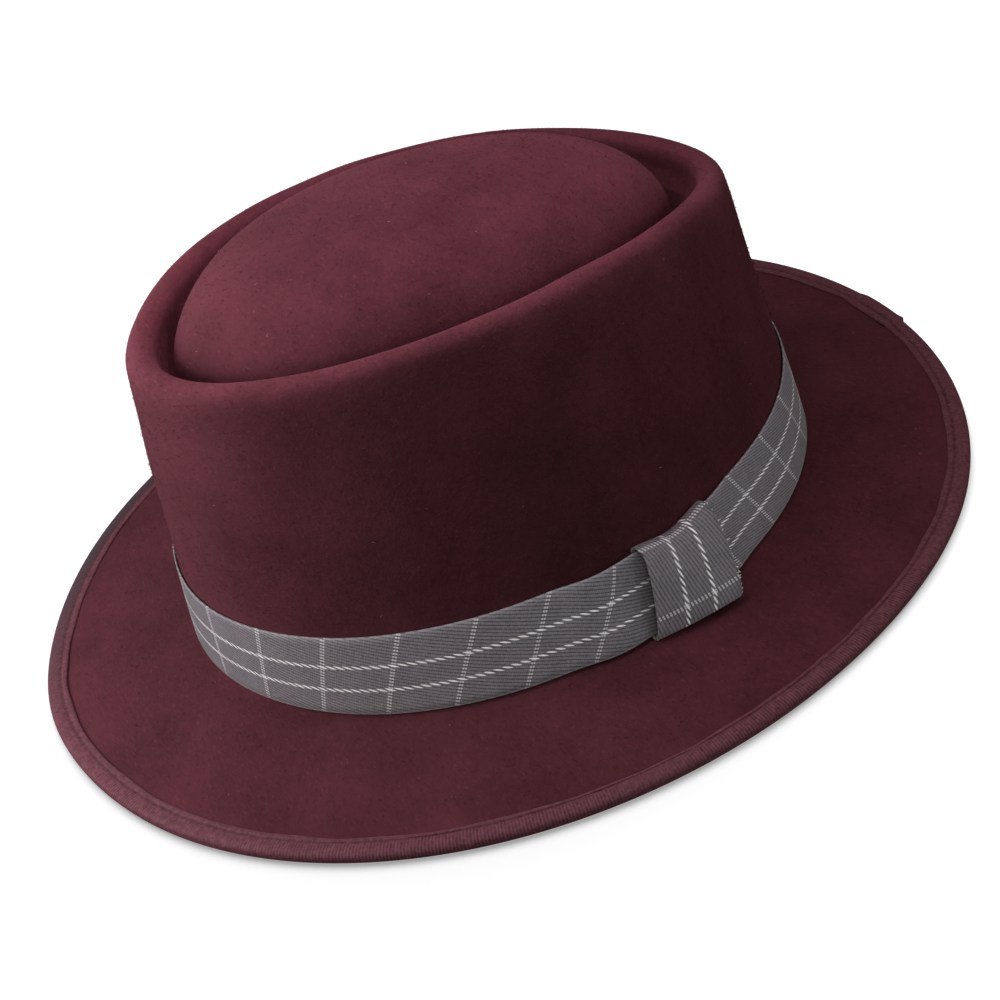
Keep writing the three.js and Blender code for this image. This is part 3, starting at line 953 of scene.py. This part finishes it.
def raw_yarn(name, hex_value):
    """Loose spun fibres: matt, pale, with small changes of tone from fibre to fibre."""
    made, add_node = new_material(name)
    place = add_node("ShaderNodeTexCoord").outputs["Object"]
    tone = add_node(NOISE, {"Vector": place, "Scale": 700, "Detail": 1})
    ramp = add_node(RAMP, {"Fac": tone})
    ramp.color_ramp.elements[0].color = [0.45 * c for c in colour(hex_value)[:3]] + [1]
    ramp.color_ramp.elements[1].color = colour(hex_value)
    look = {"Base Color": ramp, "Roughness": 0.9, "Specular IOR Level": 0.2, "Sheen Weight": 0.2}
    add_node(OUTPUT, {"Surface": add_node(SHADER, look)})
    return made


dust_fibres = lying_fibres(count=70, shortest=0.7, longest=1.6, stand=0.3)
dust = fibre_object("pale_dust_fibres", *dust_fibres, radius=0.055)
dust.data.materials.append(raw_yarn("dust_fibre_pale", "#d8b9a4"))

# %% Frayed ends on the loop's cut edge
top_row, bottom_row = path[:, 0, 2].argmax(), path[:, 0, 2].argmin()
tuft_count, ends_in_tuft, end_root, end_radius = 19, 4, 0.3, 0.17
middle_scatter, tip_scatter = 0.16, 0.2
rows = np.linspace(top_row + 1, bottom_row - 2, tuft_count).round().astype(int).repeat(ends_in_tuft)
edge = path[rows, -1]
outward = unit(edge - path[rows, -2])
scatter = draw.normal(size=(2, len(rows), 3))
reach = draw.uniform(0.1, 0.4, (len(rows), 1)) * draw.uniform(0.6, 1.5, (len(rows), 1))
middles = edge + reach * outward + middle_scatter * scatter[0]
tips = middles + 0.5 * reach * outward + tip_scatter * scatter[1]
roots = edge - end_root * outward
tufts = fibre_object("loop_frayed_ends", roots, middles, tips, end_radius, sides=5)
tufts.data.materials.append(raw_yarn("ribbon_yarn_white", "#efecea"))

# %% [markdown]
# ## Camera and table
#
# The camera stands where the photograph's did: about 45 cm away, above the wearer's left and
# front, turned so that the hat's brim runs downhill. The hat lies flat on a white table.

# %% The camera
view_turn, view_height, view_roll = -27.701, 30.939, math.radians(15.019)
view_distance, focal_pixels, picture_pixels = 445.49, 1479.6, 1000
centre_x, centre_y = 467.49, 373.05
back = direction(view_turn, view_height)
target_height = 45
target = Vector((0, -brim_back_extra, target_height + foot_height))
level = (-back).cross(Vector((0, 0, 1))).normalized()
upward = level.cross(-back)
right = level * math.cos(view_roll) - upward * math.sin(view_roll)
up = level * math.sin(view_roll) + upward * math.cos(view_roll)
place = (target + back * view_distance) * MM
camera_data = bpy.data.cameras.new("photo_view")
camera_data.sensor_width = 36
camera_data.lens = focal_pixels * camera_data.sensor_width / picture_pixels
camera_data.shift_x = (picture_pixels / 2 - centre_x) / picture_pixels
camera_data.shift_y = (centre_y - picture_pixels / 2) / picture_pixels
camera_data.clip_start, camera_data.clip_end = 0.01, 20
camera = bpy.data.objects.new("photo_view", camera_data)
camera.matrix_world = Matrix([[*row] for row in zip(right, up, back, place)] + [[0, 0, 0, 1]])
bpy.context.collection.objects.link(camera)
bpy.context.scene.camera = camera
print("lens:", round(camera_data.lens, 1), "mm")

# %% The table
def white_table():
    """A pale, matt, evenly lit top: part of its light is its own, so that it stays white."""
    made, add_node = new_material("white_table")
    look = {
        "Base Color": colour("#e8e8ea"),
        "Roughness": 1.0,
        "Specular IOR Level": 0.0,
        "Emission Color": colour("#ffffff"),
        "Emission Strength": 0.36,
    }
    add_node(OUTPUT, {"Surface": add_node(SHADER, look)})
    return made


bpy.ops.mesh.primitive_plane_add(size=6)
table = bpy.context.object
table.name = "table"
table.data.materials.append(white_table())
# The hat is dark and the table white: light sent up from the table would fill the shade
table.visible_diffuse = False
table.visible_glossy = False

# %% [markdown]
# ## Lamps
#
# Small soft lamps stand close to the hat, most of them in front of it and above it, so that the
# tip and the front glow and the near side of the crown stays dark. Wide, weak ones fill in from
# far away: two on the whole hat, two on the ribbon alone and one on the binding alone. The table
# has a lamp of its own. Light linking keeps it off the hat, and keeps the hat's lamps off the
# table, so the table stays evenly white round a soft shadow.

# %% Place the lamps
def linked_light(name, objects):
    """A collection for light linking: a lamp with it as receiver lights only these objects."""
    made = bpy.data.collections.new(name)
    for each in objects:
        made.objects.link(each)
    return made


hat_pieces = linked_light("lit_as_hat", [felt, binding, band, loop, fuzz, dust, tufts])
ribbon_pieces = linked_light("lit_as_ribbon", [band, loop, tufts])
binding_piece = linked_light("lit_as_binding", [binding])
table_top = linked_light("lit_as_table", [table])
crown_middle = Vector((0, 0, 0.08))


def near_lamp(name, place, size, watts, tint=(1, 1, 1)):
    """A square lamp close to the hat, turned to the middle of the crown; sizes in metres."""
    data = bpy.data.lights.new(name, "AREA")
    data.shape, data.size, data.energy, data.color = "SQUARE", size, watts, tint
    lamp = bpy.data.objects.new(name, data)
    lamp.location = place
    lamp.rotation_euler = (lamp.location - crown_middle).to_track_quat("Z", "Y").to_euler()
    lamp.visible_camera = False
    lamp.light_linking.receiver_collection = hat_pieces
    bpy.context.collection.objects.link(lamp)


def far_lamp(name, turn, height, strength, spread, receivers, tint=(1, 1, 1)):
    """A sun with a wide disc; turn and height are its direction's angles in degrees."""
    data = bpy.data.lights.new(name, "SUN")
    data.energy, data.angle, data.color = strength, math.radians(spread), tint
    lamp = bpy.data.objects.new(name, data)
    lamp.rotation_euler = direction(turn, height).to_track_quat("Z", "Y").to_euler()
    lamp.light_linking.receiver_collection = receivers
    bpy.context.collection.objects.link(lamp)


near_lamp("overhead", (0, 0, 0.26), 0.2, 0.37, (1, 0.82, 0.93))
near_lamp("front_high", (-0.25, -0.3, 0.42), 0.2, 0.28, (1, 0.8, 0.96))
near_lamp("front_low", (0, -0.27, 0.14), 0.15, 0.3, (1, 0.88, 0.92))
near_lamp("front_middle", (0, -0.27, 0.2), 0.15, 0.15, (0.78, 1, 0.88))
near_lamp("front_side", (-0.15, -0.27, 0.14), 0.15, 0.25, (0.9, 0.95, 1))
near_lamp("behind", (0.25, 0.3, 0.26), 0.2, 0.1, (1, 0.7, 0.7))
near_lamp("side", (0.25, 0, 0.26), 0.2, 0.1, (0.8, 1, 0.9))
far_lamp("fill_behind", 40, 8, 0.5, 50, hat_pieces, (0.88, 0.95, 1))
far_lamp("fill_side", 160, 8, 0.42, 50, hat_pieces, (0.88, 1, 0.97))
far_lamp("ribbon_fill", -34, 15, 0.74, 40, ribbon_pieces)
far_lamp("ribbon_side", 14, 16, 0.34, 20, ribbon_pieces)
far_lamp("edge_fill", -15, 10, 0.6, 50, binding_piece)
far_lamp("table_light", 150, 58, 3.9, 85, table_top)
world = bpy.data.worlds.new("room")
world.use_nodes = True
world.node_tree.nodes["Background"].inputs["Color"].default_value = colour("#ffffff")
world.node_tree.nodes["Background"].inputs["Strength"].default_value = 0.0
bpy.context.scene.world = world
bpy.context.scene.view_settings.view_transform = "Standard"
